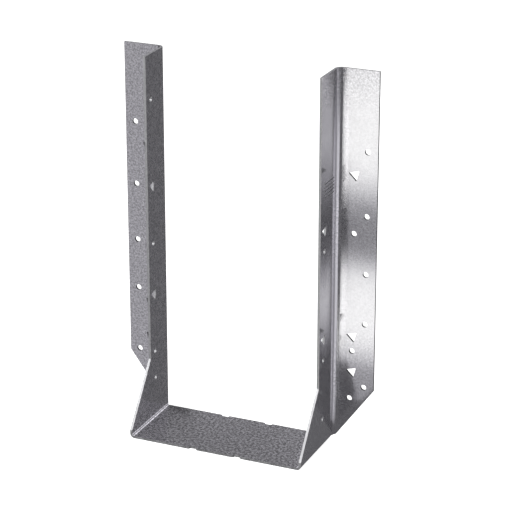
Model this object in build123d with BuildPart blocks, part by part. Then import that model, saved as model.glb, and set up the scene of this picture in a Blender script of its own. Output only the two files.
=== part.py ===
"""Face-mount joist hanger: one blank of galvanised steel sheet, punched and folded.

The seat carries the underside of a timber, a side panel rises along each of its
cheeks, and a flange turns outward from the back edge of each panel to lie on the
header. X runs across the timber, +Y points into the header and Z is up. The
origin is the centre of the seat's bearing face.
"""

import os

from build123d import *

os.makedirs("parts", exist_ok=True)

# Sheet, millimetres: 14 gauge, folded tighter at the seat than at the flanges (inside radii)
sheet = 1.9
seat_bend = 1.9
flange_bend = 3.8

# Overall sizes, each measured as a fitter would measure it
timber_width = 139.7
overall_height = 297.4
seat_reach = 68.6
panel_reach = 33.9
flange_reach = 33.8

# Side panel outline, heights above the bearing face
flare_top = 50.9
flare_bottom = 4.5

# Slanted lower end of each flange: its outer corner's height, and how far beyond the
# panel's inner face the slant meets the bearing face's level
flange_corner = 41.3
slant_foot = 3.7

# Nail holes
header_nail = 4.6
joist_nail = 4.1
edge_distance = 8.05
inner_column = 15.7
low_nail_shift = 1.6

# Triangular holes for the optional nails
triangle_side = 8.9
triangle_corner = 0.4
triangle_tilt = 15

# Rows near the top are set out downward from the top edge
outer_rows_down = (62.5, 113.1)
inner_rows_down = (127.9,)
flange_triangles_down = (81.5,)

# Rows near the seat are set out upward from the bearing face
outer_rows_up = (136.2, 95.7, 43.3)
inner_rows_up = (72.2,)
low_nail_up = 32.4
flange_triangles_up = (84.2, 54.9)

# The two panels carry staggered rows, so that their nails pass each other
left_rows_down = (35.2,)
left_triangles_down = (103.8,)
left_rows_up = (145.0, 55.0, 32.6)
left_triangles_up = (103.0,)
right_rows_down = (135.7,)
right_triangles_down = (119.5,)
right_rows_up = (71.6, 22.5)
right_triangles_up = (88.7,)

# Shallow notches in the front and back edges of the seat
notch_centre = 18.5
notch_mouth = 6.5
notch_depth = 1.9

# Plain coined bars on the outer face of the right panel
bar_count = 5
bar_length = 19.5
bar_width = 1.0
bar_pitch = 2.7
bar_depth = 0.25
bars_down = 82.9
bar_setback = 17.9

# Planes and edges that the rest is set out from
panel_face = timber_width / 2
top = overall_height - sheet
flange_bend_outside = flange_bend + sheet
header_face = (seat_reach + flange_bend_outside) / 2
seat_back = header_face - flange_bend_outside
seat_front = header_face - seat_reach
panel_front = header_face - panel_reach
flange_edge = panel_face + flange_reach
slant_start = panel_face + slant_foot
panel_column = panel_front + edge_distance
flange_column = flange_edge - edge_distance
flange_inner_column = panel_face + inner_column
triangle_radius = triangle_side / 3**0.5
clear = 2 * sheet


def heights(rows_down, rows_up):
    """Heights above the bearing face of rows set out from the top and from the seat."""
    return [top - row for row in rows_down] + list(rows_up)


def punch(face, places, shape, turn=0):
    """Drive one punch through the sheet at each place on a face."""
    with BuildSketch(face) as holes:
        with Locations(places):
            add(shape, rotation=turn)
    extrude(holes.sketch, amount=sheet, mode=Mode.SUBTRACT)


def mirrored(places, side):
    """The same places on the right flange, or their mirror images on the left."""
    return [(side * across, z) for across, z in places]


def panel_inner_face(side):
    """Inner face of one side panel, looking outward, with its second axis up."""
    return Plane(origin=(side * panel_face, 0, 0), x_dir=(0, side, 0), z_dir=(side, 0, 0))


# Punches, each drawn about its own centre
with BuildSketch() as header_punch:
    Circle(header_nail / 2)

with BuildSketch() as joist_punch:
    Circle(joist_nail / 2)

with BuildSketch() as triangle_punch:
    RegularPolygon(radius=triangle_radius, side_count=3)
    fillet(triangle_punch.vertices(), radius=triangle_corner)

with BuildPart() as hanger:
    # Seat and both side panels, folded from one strip
    with BuildSketch(Plane.XZ.offset(-seat_back)):
        with BuildLine():
            FilletPolyline(
                (-panel_face, top),
                (-panel_face, 0),
                (panel_face, 0),
                (panel_face, top),
                radius=seat_bend,
            )
            offset(amount=sheet, side=Side.RIGHT, closed=True)
        make_face()
    extrude(amount=seat_back - seat_front)

    # Front edge of the panels: narrow above, flaring out to the full seat below
    with BuildSketch(Plane.YZ):
        with BuildLine():
            Polyline(
                (panel_front, top + clear),
                (panel_front, flare_top),
                (seat_front, flare_bottom),
                (seat_front - clear, flare_bottom),
                (seat_front - clear, top + clear),
                close=True,
            )
        make_face()
    extrude(amount=panel_face + clear, both=True, mode=Mode.SUBTRACT)

    # Flanges, bent outward from the back edge of each panel
    for side in (-1, 1):
        with BuildSketch(Plane.XY):
            with BuildLine():
                turn = CenterArc(
                    center=(side * (panel_face + flange_bend_outside), seat_back),
                    radius=flange_bend_outside,
                    start_angle=90 + side * 90,
                    arc_size=-side * 90,
                )
                Line(turn @ 1, (side * flange_edge, header_face))
                offset(
                    amount=sheet,
                    side=Side.RIGHT if side > 0 else Side.LEFT,
                    closed=True,
                )
            make_face()
        extrude(amount=top)

    # Slanted lower end of each flange
    for side in (-1, 1):
        with BuildSketch(Plane.XZ.offset(-header_face)):
            with BuildLine():
                Polyline(
                    (side * slant_start, 0),
                    (side * flange_edge, flange_corner),
                    (side * (flange_edge + clear), flange_corner),
                    (side * (flange_edge + clear), 0),
                    close=True,
                )
            make_face()
        extrude(amount=clear, mode=Mode.SUBTRACT)

    # Nail holes and optional triangular holes in the flanges
    header_back = Plane.XZ.offset(-header_face)
    nail_places = [(flange_column, z) for z in heights(outer_rows_down, outer_rows_up)]
    nail_places += [(flange_inner_column, z) for z in heights(inner_rows_down, inner_rows_up)]
    nail_places += [(flange_inner_column - low_nail_shift, low_nail_up)]
    triangle_rows = heights(flange_triangles_down, flange_triangles_up)
    triangle_places = [(flange_inner_column, z) for z in triangle_rows]
    for side in (-1, 1):
        # The triangles point down, tilted towards the flange's outer edge
        down = -90 + side * triangle_tilt
        punch(header_back, mirrored(nail_places, side), header_punch.sketch)
        punch(header_back, mirrored(triangle_places, side), triangle_punch.sketch, down)

    # Nail holes and optional triangular holes in the side panels
    panel_rows = (
        (-1, heights(left_rows_down, left_rows_up), heights(left_triangles_down, left_triangles_up)),
        (1, heights(right_rows_down, right_rows_up), heights(right_triangles_down, right_triangles_up)),
    )
    for side, nail_rows, wide_rows in panel_rows:
        # The triangles point at the panel's front edge, tilted upward
        forward = 90 + side * (90 - triangle_tilt)
        across = side * panel_column
        punch(panel_inner_face(side), [(across, z) for z in nail_rows], joist_punch.sketch)
        punch(panel_inner_face(side), [(across, z) for z in wide_rows], triangle_punch.sketch, forward)

    # Notches in the seat's two long edges, with slanted ends
    for edge, inward in ((seat_front, 1), (seat_back, -1)):
        for middle in (-notch_centre, notch_centre):
            with BuildSketch(Plane.XY):
                with BuildLine():
                    Polyline(
                        (middle - notch_mouth / 2, edge),
                        (middle - notch_mouth / 2 + notch_depth / 2, edge + inward * notch_depth),
                        (middle + notch_mouth / 2 - notch_depth / 2, edge + inward * notch_depth),
                        (middle + notch_mouth / 2, edge),
                        close=True,
                    )
                make_face()
            extrude(amount=-sheet, mode=Mode.SUBTRACT)

    # Coined bars
    outer_face = Plane(origin=(panel_face + sheet, 0, 0), x_dir=(0, 1, 0), z_dir=(1, 0, 0))
    with BuildSketch(outer_face):
        with Locations((header_face - bar_setback, top - bars_down - (bar_count - 1) * bar_pitch / 2)):
            with GridLocations(0, bar_pitch, 1, bar_count):
                SlotOverall(bar_length, bar_width)
    extrude(amount=-bar_depth, mode=Mode.SUBTRACT)

hanger.part.label = "hanger"
export_step(hanger.part, "parts/hanger.step")
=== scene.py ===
"""Joist hanger in galvanised sheet, standing on a pale studio floor.

The sheet is close to a mirror, so most of its look comes from the cards and strips of light that
lie and stand round it, and that show only in the metal.
"""

import math

import bpy
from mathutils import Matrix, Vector


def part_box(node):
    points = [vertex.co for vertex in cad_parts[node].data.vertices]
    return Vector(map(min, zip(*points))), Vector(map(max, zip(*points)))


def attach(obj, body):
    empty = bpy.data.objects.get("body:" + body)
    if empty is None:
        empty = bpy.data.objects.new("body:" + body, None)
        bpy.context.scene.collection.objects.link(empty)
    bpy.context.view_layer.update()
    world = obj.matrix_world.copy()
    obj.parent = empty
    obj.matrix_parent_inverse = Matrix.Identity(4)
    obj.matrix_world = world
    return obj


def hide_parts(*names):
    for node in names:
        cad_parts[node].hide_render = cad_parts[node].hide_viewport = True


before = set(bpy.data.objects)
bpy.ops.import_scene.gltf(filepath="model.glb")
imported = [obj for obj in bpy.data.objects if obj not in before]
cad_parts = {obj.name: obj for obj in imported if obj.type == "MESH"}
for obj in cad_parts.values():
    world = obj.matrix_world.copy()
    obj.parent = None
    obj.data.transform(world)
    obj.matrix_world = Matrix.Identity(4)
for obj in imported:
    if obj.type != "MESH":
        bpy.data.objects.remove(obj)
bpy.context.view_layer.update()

MM = 0.001
low_corner, high_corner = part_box("hanger")
FLOOR_LEVEL = low_corner.z

# The folded sheet's own sizes, in metres, for telling its surfaces from its sheared edges.
# The seat is centred on the origin, and its bearing face is at height zero.
SHEET = -low_corner.z
SEAT_BEND = 1.9 * MM
FLANGE_BEND = 3.8 * MM
PANEL_INSIDE = 69.85 * MM
PANEL_OUTSIDE = PANEL_INSIDE + SHEET
HEADER_FACE = high_corner.y
FLANGE_FRONT = HEADER_FACE - SHEET
SEAT_BACK = -low_corner.y
SEAT_BEND_CENTRE = PANEL_INSIDE - SEAT_BEND
FLANGE_BEND_CENTRE = PANEL_OUTSIDE + FLANGE_BEND
TOUCH = 0.05 * MM

# Cosines: above the first a face looks straight along an axis, below the second it is square to it
ALONG = 0.999
SQUARE = 0.01

# Cleaning up the mesh and breaking its sheared edges
MERGE_WITHIN = 0.002 * MM
FLAT_WITHIN = math.radians(0.2)
SHARP_ABOVE = math.radians(35)
BROKEN_EDGE = 0.15 * MM

# Folds spring back a little, so each flange mirrors as if it were opened by this much
SPRING_BACK = math.radians(2.5)

# How far each flange's fold has turned, in degrees, along its way from the panel to the flange
FOLD_TURN = ((0, 0), (0.36, 51), (0.81, 59), (0.865, 80.3), (0.99, 81), (1, 90))

# Heights between which the upright sheet's spangle turns into the seat's, the share by which the
# seat's coordinates shrink to make it coarser, and how its contrast goes from patch to patch
SEAT_SPANGLE = (0.8 * MM, 0.2 * MM)
SEAT_COARSER = 0.25
SEAT_UNEVEN = (0.5, 1.5)

# Places across between which the left's spangle turns into the right's. The right's contrast
# rises and falls with height: the height of a crest, the wave's length, and where it reaches nil
LEFT_TO_RIGHT = (20 * MM, 68 * MM)
WAVE_CREST = 175 * MM
WAVE_LENGTH = 122 * MM
WAVE_CUT = -0.6

# Most values of the fine noises and of the patches lie between these
FINE_SPAN = (0.37, 0.63)
PATCH_SPAN = (0.3, 0.7)

# The photograph's camera, solved from its straight edges: place in millimetres, angles in degrees
CAMERA_PLACE = (622.742, -1372.341, 727.389)
CAMERA_AZIMUTH = 23.670
CAMERA_ELEVATION = 20.993
FOCAL_PIXELS = 2146.73
PHOTO_PIXELS = 512
SENSOR_WIDTH = 36

# The colour of the cards' light, the strips' colour where they are dim and where they are bright,
# and the strengths between which it turns. The tent's glow, and its radius in metres
COOL_WHITE = (0.99, 0.981, 1.033)
DIM_STRIP = (0.985, 0.98, 1.03)
BRIGHT_STRIP = (1, 1.01, 0.97)
STRIP_TINT_SPAN = (0.4, 1.8)
TENT_GLOW = 0.3
TENT_RADIUS = 3

# The left edge that the two cards on the right share, in millimetres
SHARED_EDGE = (
    (110, 0), (122, -11), (135, -25), (158, -48), (180, -80), (203, -111), (262, -183), (590, -578),
)

# Cards that lie on the table, in millimetres: strength, lift above it, corners
TABLE = (
    ("dark_table", 0.16, 0.1, ((-2900, -2900), (2900, -2900), (2900, 2900), (-2900, 2900))),
    ("left_grey", 0.48, 0.2, (
        (-1000, -1300), (-560, -1300), (-110, -60), (-80, 25), (-140, 25), (-230, -30), (-620, -450),
    )),
    ("right_front", 1.0, 0.25, ((98, 13), *SHARED_EDGE, (760, -430), (112, 5))),
    ("right_side", 0.56, 0.2, (
        (93, 20), (98, 12), *SHARED_EDGE, (1500, -578), (1500, 45), (105, 45), (97, 29),
    )),
)

# Strips of light on the table, in millimetres: distance forward, left, right, strength
STRIP_LIFT = 0.3
STRIPS = (
    ("left_strip", (
        (1200, -370, -160, 1.1), (936, -310, -110, 1.4), (860, -290, -95, 1.6),
        (600, -215, -25, 1.6), (545, -200, -10, 1.25), (514, -190, -5, 0.8),
        (484, -180, 5, 0.42), (455, -165, 10, 0.33), (370, -115, 30, 0.33),
        (345, -100, 35, 0.45), (311, -80, 42, 1.2), (285, -70, 48, 1.5),
        (180, -40, 70, 1.55), (145, -28, 78, 1.35), (118, -18, 80, 0.95),
        (95, 0, 76, 0.5), (36, 40, 78, 0.45),
    )),
    ("middle_strip", (
        (1150, 340, 424, 2.9), (930, 286, 356, 3.3), (651, 220, 276, 3.3),
        (590, 204, 258, 3.1), (545, 193, 246, 2.2), (509, 184, 236, 0.9),
        (475, 175, 228, 0.12), (365, 144, 190, 0.1), (340, 137, 182, 0.7),
        (315, 131, 176, 2.1), (283, 123, 168, 2.5), (180, 100, 144, 2.5),
        (136, 94, 134, 1.7), (112, 92, 130, 0.9), (98, 90, 126, 0.13),
    )),
    ("right_strip_far", (
        (1000, 540, 720, 1.0), (850, 480, 630, 1.05), (597, 360, 470, 1.05),
        (540, 332, 438, 0.75), (480, 305, 400, 0.5), (440, 290, 380, 0.13),
    )),
    ("right_strip_near", (
        (312, 230, 300, 0.15), (277, 212, 276, 0.6), (240, 194, 256, 1.1),
        (200, 176, 232, 1.3), (165, 162, 212, 1.0), (125, 145, 190, 0.5),
        (95, 132, 170, 0.15),
    )),
)

# Cards that stand round the hanger at this distance and face this point, in metres. Each has its
# azimuth, elevation, width and height in degrees, and its strength
CARD_DISTANCE = 2.2
CARDS_FACE = Vector((0, 0, 0.12))
STANDING = (
    ("back_low", 202, 10, 40, 20, 1.1),
    ("back_high", 202, 33, 40, 24, 0.22),
    ("back_right", 180, 33, 26, 17, 1.3),
    ("back_right_low", 150, 2, 16, 12, 1.2),
    ("front_right_high", 30, 33, 60, 24, 1.2),
    ("left_high", 292, 33, 44, 24, 1.9),
    ("front_left_high", 335, 40, 44, 30, 1.5),
)

# A small dark card that stands to the left behind the hanger, in millimetres: corners across and
# up, and how far back it is
DARK_CORNER = ((-163, 78), (-128, 78), (-128, 96), (-163, 96))
DARK_CORNER_BACK = 200
DARK_CORNER_GLOW = 0.04


def deselect():
    """Leave edit mode with nothing selected."""
    if bpy.context.object and bpy.context.object.mode != "OBJECT":
        bpy.ops.object.mode_set(mode="OBJECT")
    bpy.ops.object.select_all(action="DESELECT")


def select(piece):
    """Make one piece the only selected and the active one."""
    deselect()
    piece.select_set(True)
    bpy.context.view_layer.objects.active = piece


def toward(azimuth, elevation):
    """A unit vector in a compass direction, from degrees; azimuth 0 is the front, 90 its right."""
    turn, rise = math.radians(azimuth), math.radians(elevation)
    return Vector((
        math.sin(turn) * math.cos(rise),
        -math.cos(turn) * math.cos(rise),
        math.sin(rise),
    ))


# The sheet's mesh


def near(value, *targets):
    """True where a value lies on one of the targets."""
    return any(abs(value - target) < TOUCH for target in targets)


def on_sheet_surface(centre, normal):
    """True for a face of the rolled sheet, false for a sheared edge, a hole's wall or a coined floor."""
    across = abs(centre.x)
    if abs(normal.z) > ALONG:
        return near(centre.z, 0, -SHEET)
    if abs(normal.x) > ALONG:
        return near(across, PANEL_INSIDE, PANEL_OUTSIDE)
    if abs(normal.y) > ALONG:
        return near(centre.y, HEADER_FACE, FLANGE_FRONT)
    if abs(normal.y) < SQUARE and centre.z < SEAT_BEND + TOUCH:
        out = Vector((across - SEAT_BEND_CENTRE, centre.z - SEAT_BEND))
        return near(out.length, SEAT_BEND, SEAT_BEND + SHEET) and abs(centre.y) < SEAT_BACK
    if abs(normal.z) < SQUARE and centre.y > SEAT_BACK - TOUCH:
        out = Vector((across - FLANGE_BEND_CENTRE, centre.y - SEAT_BACK))
        return near(out.length, FLANGE_BEND, FLANGE_BEND + SHEET)
    return False


def finish_slot(face):
    """A face's material slot: 0 the rolled sheet, 1 a sheared edge, 2 an edge or hole's wall of a flange,
    whose colour is darkened with painted shade.
    """
    if on_sheet_surface(face.center, face.normal):
        return 0
    on_flange = face.center.y > FLANGE_FRONT - TOUCH
    # The flanges' sheared edges and hole walls are the same steel as the other edges, made near black with
    # painted shade
    return 2 if on_flange and abs(face.normal.y) < SQUARE else 1


def dress_sheet(node, finishes):
    """A merged copy of the folded sheet with its sheared edges broken, which replaces the CAD node."""
    mesh = node.data.copy()
    mesh.name = "hanger_sheet"
    piece = bpy.data.objects.new("hanger_sheet", mesh)
    bpy.context.scene.collection.objects.link(piece)
    select(piece)
    bpy.ops.object.mode_set(mode="EDIT")
    bpy.ops.mesh.select_all(action="SELECT")
    bpy.ops.mesh.remove_doubles(threshold=MERGE_WITHIN)
    bpy.ops.mesh.dissolve_limited(angle_limit=FLAT_WITHIN)
    bpy.ops.object.mode_set(mode="OBJECT")

    mesh.materials.clear()
    for finish in finishes:
        mesh.materials.append(finish)
    for face in mesh.polygons:
        face.material_index = finish_slot(face)

    edges = piece.modifiers.new("broken_edges", "BEVEL")
    edges.width = BROKEN_EDGE
    edges.segments = 2
    edges.limit_method = "ANGLE"
    edges.angle_limit = SHARP_ABOVE
    edges.use_clamp_overlap = True
    edges.harden_normals = True
    bpy.ops.object.shade_smooth_by_angle(angle=SHARP_ABOVE)
    bpy.ops.object.modifier_apply(modifier=edges.name)
    return piece


# Shader node helpers


def link(tree, source, target):
    """Link one node's output to another's input."""
    tree.links.new(source, target)


def add_node(tree, kind, **settings):
    """A node with some of its properties set."""
    node = tree.nodes.new(kind)
    for name, value in settings.items():
        setattr(node, name, value)
    return node


def feed(tree, socket, value):
    """Give a socket a plain number, or link another node's output to it."""
    if isinstance(value, (int, float)):
        socket.default_value = value
    else:
        link(tree, value, socket)


def arithmetic(tree, operation, *terms):
    """One sum, product or function of sockets or plain numbers."""
    node = add_node(tree, "ShaderNodeMath", operation=operation)
    for term, socket in zip(terms, node.inputs):
        feed(tree, socket, term)
    return node.outputs["Value"]


def noise(tree, place, scale, detail, roughness):
    """A noise pattern on some coordinates, whose scale may be another node's output."""
    pattern = add_node(tree, "ShaderNodeTexNoise")
    feed(tree, pattern.inputs["Scale"], scale)
    pattern.inputs["Detail"].default_value = detail
    pattern.inputs["Roughness"].default_value = roughness
    link(tree, place, pattern.inputs["Vector"])
    return pattern.outputs["Fac"]


def stretched(tree, value, low, high, to_low=0.0, to_high=1.0):
    """A value's range from low to high spread over another range, and clamped to it."""
    spread = add_node(tree, "ShaderNodeMapRange")
    for name, bound in (("From Min", low), ("From Max", high), ("To Min", to_low), ("To Max", to_high)):
        spread.inputs[name].default_value = bound
    link(tree, value, spread.inputs["Value"])
    return spread.outputs["Result"]


def faded(tree, factor, first, second):
    """A value that goes from one to another as the factor goes from 0 to 1."""
    mix = add_node(tree, "ShaderNodeMix", data_type="FLOAT")
    link(tree, factor, mix.inputs["Factor"])
    link(tree, first, mix.inputs["A"])
    link(tree, second, mix.inputs["B"])
    return mix.outputs["Result"]


def faded_colour(tree, factor, first, second):
    """A colour that goes from one to another as the factor goes from 0 to 1."""
    mix = add_node(tree, "ShaderNodeMix", data_type="RGBA")
    link(tree, factor, mix.inputs["Factor"])
    mix.inputs["A"].default_value = (*first, 1)
    mix.inputs["B"].default_value = (*second, 1)
    return mix.outputs["Result"]


def own_place(tree):
    """The object's own coordinates, whole and by axis."""
    place = add_node(tree, "ShaderNodeTexCoord").outputs["Object"]
    axes = add_node(tree, "ShaderNodeSeparateXYZ")
    link(tree, place, axes.inputs[0])
    return place, axes.outputs


def new_group(name, inputs, outputs):
    """A node group from its inputs' names and numbers and its outputs' names and kinds."""
    group = bpy.data.node_groups.new(name, "ShaderNodeTree")
    for label, value in inputs.items():
        socket = group.interface.new_socket(name=label, in_out="INPUT", socket_type="NodeSocketFloat")
        socket.default_value = value
    for label, kind in outputs.items():
        group.interface.new_socket(name=label, in_out="OUTPUT", socket_type=kind)
    entry = add_node(group, "NodeGroupInput")
    leave = add_node(group, "NodeGroupOutput")
    return group, entry.outputs, leave.inputs


def placed(tree, group):
    """One use of a node group in a material."""
    node = add_node(tree, "ShaderNodeGroup")
    node.node_tree = group
    return node.outputs


# The metal's finishes


def build_spangle():
    """Zinc spangle: fine speckle, broader patches, the relief of the crystals and a dull film."""
    group, entry, leave = new_group(
        "zinc_spangle",
        {
            "Speckle Scale": 650.0,
            "Patch Scale": 90.0,
            "Relief Scale": 1300.0,
            "Film Scale": 610.0,
            "Contrast Left": 0.68,
            "Contrast Right": 0.42,
            "Contrast Seat": 1.9,
        },
        {name: "NodeSocketFloat" for name in ("Tone", "Patches", "Relief", "Film")},
    )
    place, axes = own_place(group)

    # The spangle is coarser and stronger on the seat
    on_seat = stretched(group, axes["Z"], *SEAT_SPANGLE)
    size = arithmetic(group, "SUBTRACT", 1, arithmetic(group, "MULTIPLY", on_seat, SEAT_COARSER))
    coarse = add_node(group, "ShaderNodeVectorMath", operation="SCALE")
    link(group, place, coarse.inputs[0])
    link(group, size, coarse.inputs["Scale"])
    speckle = noise(group, coarse.outputs["Vector"], entry["Speckle Scale"], detail=3, roughness=0.75)
    patches = noise(group, place, entry["Patch Scale"], detail=2, roughness=0.5)
    broad = stretched(group, patches, *PATCH_SPAN)
    link(group, broad, leave["Patches"])

    # It is stronger on the left of the blank than on its right, and on the right it rises and
    # falls with height
    above_crest = arithmetic(group, "SUBTRACT", axes["Z"], WAVE_CREST)
    wave = arithmetic(group, "COSINE", arithmetic(group, "MULTIPLY", above_crest, math.tau / WAVE_LENGTH))
    swell = stretched(group, wave, WAVE_CUT, 1)
    right_contrast = arithmetic(group, "MULTIPLY", swell, entry["Contrast Right"])
    rightness = stretched(group, axes["X"], *LEFT_TO_RIGHT)
    upright_contrast = faded(group, rightness, entry["Contrast Left"], right_contrast)
    uneven = stretched(group, broad, 0, 1, *SEAT_UNEVEN)
    seat_contrast = arithmetic(group, "MULTIPLY", uneven, entry["Contrast Seat"])
    contrast = faded(group, on_seat, upright_contrast, seat_contrast)
    centred = arithmetic(group, "SUBTRACT", stretched(group, speckle, *FINE_SPAN), 0.5)
    tone = arithmetic(group, "MULTIPLY", centred, contrast)
    link(group, arithmetic(group, "ADD", tone, 0.5), leave["Tone"])

    link(group, noise(group, place, entry["Relief Scale"], detail=2, roughness=0.5), leave["Relief"])
    film = noise(group, place, entry["Film Scale"], detail=2, roughness=0.7)
    link(group, stretched(group, film, *FINE_SPAN), leave["Film"])
    return group


def build_fold_normal():
    """Normals turned about the upright: by the pressed shape of each fold, and by its spring-back."""
    group, entry, leave = new_group("fold_normal", {"Angle": SPRING_BACK}, {"Normal": "NodeSocketVector"})
    _, axes = own_place(group)

    # How far round the bend a point is: 0 on the panel, 1 on the flange
    round_bend = stretched(group, axes["Y"], SEAT_BACK, FLANGE_FRONT)
    # The fold was pressed, so it turns in steps where a true round would turn evenly
    profile = add_node(group, "ShaderNodeValToRGB")
    stops = profile.color_ramp.elements
    while len(stops) < len(FOLD_TURN):
        stops.new(0.5)
    for (position, degrees), stop in zip(FOLD_TURN, stops):
        level = degrees / 90
        stop.position = position
        stop.color = (level, level, level, 1)
    link(group, round_bend, profile.inputs["Fac"])
    turned_so_far = arithmetic(group, "MULTIPLY", profile.outputs["Color"], math.pi / 2)
    true_round = arithmetic(group, "ARCSINE", round_bend)
    pressed = arithmetic(group, "SUBTRACT", turned_so_far, true_round)
    opened = arithmetic(group, "MULTIPLY", round_bend, entry["Angle"])

    # Minus 1 on the left and 1 on the right
    side = arithmetic(group, "SIGN", axes["X"])
    angle = arithmetic(group, "MULTIPLY", arithmetic(group, "SUBTRACT", opened, pressed), side)
    facing = add_node(group, "ShaderNodeNewGeometry")
    turned = add_node(group, "ShaderNodeVectorRotate", rotation_type="Z_AXIS")
    link(group, facing.outputs["Normal"], turned.inputs["Vector"])
    link(group, angle, turned.inputs["Angle"])
    link(group, turned.outputs["Vector"], leave["Normal"])
    return group


def galvanised(name, spangle, fold_normal, dark, light, smooth, rough, relief, film):
    """A zinc-coated surface.

    It has two tones, a range of roughness, a relief in millimetres, and a dull film over some of it.
    """
    material = bpy.data.materials.new(name)
    material.use_nodes = True
    tree = material.node_tree
    shader = tree.nodes["Principled BSDF"]
    pattern = placed(tree, spangle)

    link(tree, faded_colour(tree, pattern["Tone"], dark, light), shader.inputs["Base Color"])
    link(tree, stretched(tree, pattern["Patches"], 0, 1, smooth, rough), shader.inputs["Roughness"])
    link(tree, stretched(tree, pattern["Film"], 0, 1, 1, 1 - 2 * film), shader.inputs["Metallic"])

    bump = add_node(tree, "ShaderNodeBump")
    bump.inputs["Strength"].default_value = 1
    bump.inputs["Distance"].default_value = relief * MM
    link(tree, pattern["Relief"], bump.inputs["Height"])
    link(tree, placed(tree, fold_normal)["Normal"], bump.inputs["Normal"])
    link(tree, bump.outputs["Normal"], shader.inputs["Normal"])
    return material


# What the metal mirrors


def empty_material(name):
    """A material with no nodes yet."""
    material = bpy.data.materials.new(name)
    material.use_nodes = True
    material.node_tree.nodes.clear()
    return material


def surface(tree, shader):
    """Make a shader the material's surface."""
    output = add_node(tree, "ShaderNodeOutputMaterial")
    link(tree, shader, output.inputs["Surface"])


def plain_glow(name, strength):
    """An even glow, for a card that shows only in reflections."""
    material = empty_material(name)
    tree = material.node_tree
    glow = add_node(tree, "ShaderNodeEmission")
    glow.inputs["Color"].default_value = (*COOL_WHITE, 1)
    glow.inputs["Strength"].default_value = strength
    surface(tree, glow.outputs["Emission"])
    return material


def only_in_reflections(piece):
    """Hide a studio card from all but the metal's reflections."""
    piece.visible_camera = False
    piece.visible_diffuse = False
    piece.visible_transmission = False
    piece.visible_volume_scatter = False
    piece.visible_shadow = False


def card(name, corners, strength):
    """A flat card that shows only in the metal's reflections, from its corners in metres."""
    mesh = bpy.data.meshes.new(name)
    mesh.from_pydata(corners, [], [range(len(corners))])
    mesh.materials.append(plain_glow(name, strength))
    piece = bpy.data.objects.new(name, mesh)
    bpy.context.scene.collection.objects.link(piece)
    only_in_reflections(piece)


def graded_strip(name, stations):
    """A strip that lies on the table and fades along its length.

    Each station is its distance in front of the hanger, the strip's left and right there, and
    its strength.
    """
    corners = []
    strengths = []
    for forward, left, right, strength in stations:
        corners += [(side * MM, -forward * MM, FLOOR_LEVEL + STRIP_LIFT * MM) for side in (left, right)]
        strengths += [strength, strength]
    faces = [(2 * i, 2 * i + 1, 2 * i + 3, 2 * i + 2) for i in range(len(stations) - 1)]
    mesh = bpy.data.meshes.new(name)
    mesh.from_pydata(corners, [], faces)
    fade = mesh.attributes.new("fade", "FLOAT", "POINT")
    fade.data.foreach_set("value", strengths)
    material = plain_glow(name, 1)
    tree = material.node_tree
    glow = tree.nodes["Emission"]
    level = add_node(tree, "ShaderNodeAttribute", attribute_name="fade").outputs["Fac"]
    link(tree, level, glow.inputs["Strength"])
    # The brighter the strip, the warmer it is
    warmth = stretched(tree, level, *STRIP_TINT_SPAN)
    link(tree, faded_colour(tree, warmth, DIM_STRIP, BRIGHT_STRIP), glow.inputs["Color"])
    mesh.materials.append(material)
    strip = bpy.data.objects.new(name, mesh)
    bpy.context.scene.collection.objects.link(strip)
    only_in_reflections(strip)


def standing_card(name, azimuth, elevation, width, height, strength):
    """A card that stands in a compass direction and faces the hanger, all sizes in degrees."""
    out = toward(azimuth, elevation)
    across = toward(azimuth + 90, 0)
    up = out.cross(across)
    middle = CARDS_FACE + out * CARD_DISTANCE
    wide = across * (CARD_DISTANCE * math.tan(math.radians(width / 2)))
    tall = up * (CARD_DISTANCE * math.tan(math.radians(height / 2)))
    corners = [middle - wide - tall, middle + wide - tall, middle + wide + tall, middle - wide + tall]
    card(name, corners, strength)


def make_tent():
    """A dim dome round the set, which shows only in the metal."""
    deselect()
    bpy.ops.mesh.primitive_uv_sphere_add(segments=32, ring_count=16, radius=TENT_RADIUS, location=(0, 0, 0))
    tent = bpy.context.object
    tent.name = "tent"
    tent.data.materials.append(plain_glow("tent", TENT_GLOW))
    only_in_reflections(tent)


# The studio that the camera sees


def white_to_the_eye(tree, plain, white):
    """A white shader for what the camera, metal and glass see, and a plain one for the rest."""
    path = add_node(tree, "ShaderNodeLightPath").outputs
    seen = arithmetic(tree, "MAXIMUM", path["Is Camera Ray"], path["Is Glossy Ray"])
    mix = add_node(tree, "ShaderNodeMixShader")
    link(tree, arithmetic(tree, "MAXIMUM", seen, path["Is Transmission Ray"]), mix.inputs["Fac"])
    link(tree, plain, mix.inputs[1])
    link(tree, white, mix.inputs[2])
    return mix.outputs["Shader"]


def make_floor():
    """A pale floor, white to the eye, that keeps a soft shadow."""
    deselect()
    bpy.ops.mesh.primitive_plane_add(size=12, location=(0, 0, FLOOR_LEVEL))
    floor = bpy.context.object
    floor.name = "floor"
    material = empty_material("floor")
    tree = material.node_tree
    plain = add_node(tree, "ShaderNodeBsdfDiffuse")
    plain.inputs["Color"].default_value = (0.8, 0.8, 0.8, 1)
    glow = add_node(tree, "ShaderNodeEmission")
    glow.inputs["Strength"].default_value = 0.9
    shadowed = add_node(tree, "ShaderNodeAddShader")
    link(tree, plain.outputs["BSDF"], shadowed.inputs[0])
    link(tree, glow.outputs["Emission"], shadowed.inputs[1])
    surface(tree, white_to_the_eye(tree, plain.outputs["BSDF"], shadowed.outputs["Shader"]))
    floor.data.materials.append(material)


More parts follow.
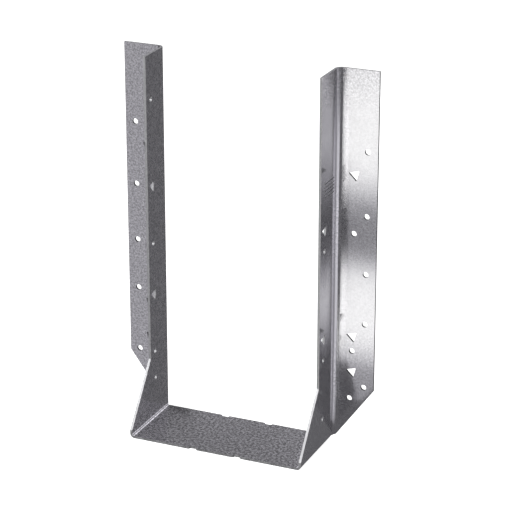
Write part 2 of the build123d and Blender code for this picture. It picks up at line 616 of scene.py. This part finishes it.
def make_world():
    """White to the eye, and a dim even fill for everything else."""
    world = bpy.data.worlds.new("studio")
    bpy.context.scene.world = world
    world.use_nodes = True
    tree = world.node_tree
    tree.nodes.clear()
    fill = add_node(tree, "ShaderNodeBackground")
    white = add_node(tree, "ShaderNodeBackground")
    for background, strength in ((fill, 0.4), (white, 1)):
        background.inputs["Color"].default_value = (1, 1, 1, 1)
        background.inputs["Strength"].default_value = strength
    output = add_node(tree, "ShaderNodeOutputWorld")
    seen = white_to_the_eye(tree, fill.outputs["Background"], white.outputs["Background"])
    link(tree, seen, output.inputs["Surface"])


def softbox(name, place, target, side, watts):
    """A soft square lamp aimed at a point, in metres."""
    lamp = bpy.data.lights.new(name, "AREA")
    lamp.shape = "RECTANGLE"
    lamp.size = side
    lamp.size_y = side
    lamp.energy = watts
    box = bpy.data.objects.new(name, lamp)
    bpy.context.scene.collection.objects.link(box)
    box.location = place
    box.rotation_mode = "QUATERNION"
    box.rotation_quaternion = (Vector(target) - Vector(place)).to_track_quat("-Z", "Y")
    box.visible_camera = False


def make_camera():
    """The photograph's camera."""
    data = bpy.data.cameras.new("camera")
    data.sensor_width = SENSOR_WIDTH
    data.lens = FOCAL_PIXELS / PHOTO_PIXELS * SENSOR_WIDTH
    data.clip_start = 0.05
    data.clip_end = 50
    camera = bpy.data.objects.new("camera", data)
    bpy.context.scene.collection.objects.link(camera)
    camera.location = Vector(CAMERA_PLACE) * MM
    camera.rotation_mode = "QUATERNION"
    camera.rotation_quaternion = (-toward(CAMERA_AZIMUTH, CAMERA_ELEVATION)).to_track_quat("-Z", "Y")
    bpy.context.scene.camera = camera


def make_finishes():
    """The finishes of the rolled sheet, its sheared edges, and the flanges' edges and holes, which are the
    same sheared steel darkened with painted shade.
    """
    spangle = build_spangle()
    fold_normal = build_fold_normal()
    return (
        galvanised(
            "galvanised_face", spangle, fold_normal, dark=(0.3, 0.296, 0.307), light=(0.92, 0.908, 0.943),
            smooth=0.095, rough=0.12, relief=0.006, film=0.065,
        ),
        galvanised(
            "sheared_edge", spangle, fold_normal, dark=(0.36, 0.36, 0.365), light=(0.54, 0.54, 0.546),
            smooth=0.5, rough=0.6, relief=0.02, film=0.2,
        ),
        # The same sheared steel, made near black as painted shade for the flanges' edges and hole walls
        galvanised(
            "flange_edge_painted_shade", spangle, fold_normal, dark=(0.04, 0.04, 0.042), light=(0.1, 0.099, 0.103),
            smooth=0.3, rough=0.4, relief=0.02, film=0.02,
        ),
    )


hanger = dress_sheet(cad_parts["hanger"], make_finishes())
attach(hanger, "root")
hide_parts("hanger")

make_floor()
make_world()
make_camera()

for name, strength, lift, corners in TABLE:
    card(name, [(x * MM, y * MM, FLOOR_LEVEL + lift * MM) for x, y in corners], strength)
for name, stations in STRIPS:
    graded_strip(name, stations)
for name, azimuth, elevation, width, height, strength in STANDING:
    standing_card(name, azimuth, elevation, width, height, strength)
card("dark_corner", [(x * MM, DARK_CORNER_BACK * MM, z * MM) for x, z in DARK_CORNER], DARK_CORNER_GLOW)
make_tent()
softbox("key", place=(-1.1, -1.6, 1.9), target=(0, 0, 0.14), side=0.9, watts=40)
bpy.context.scene.view_settings.view_transform = "Standard"
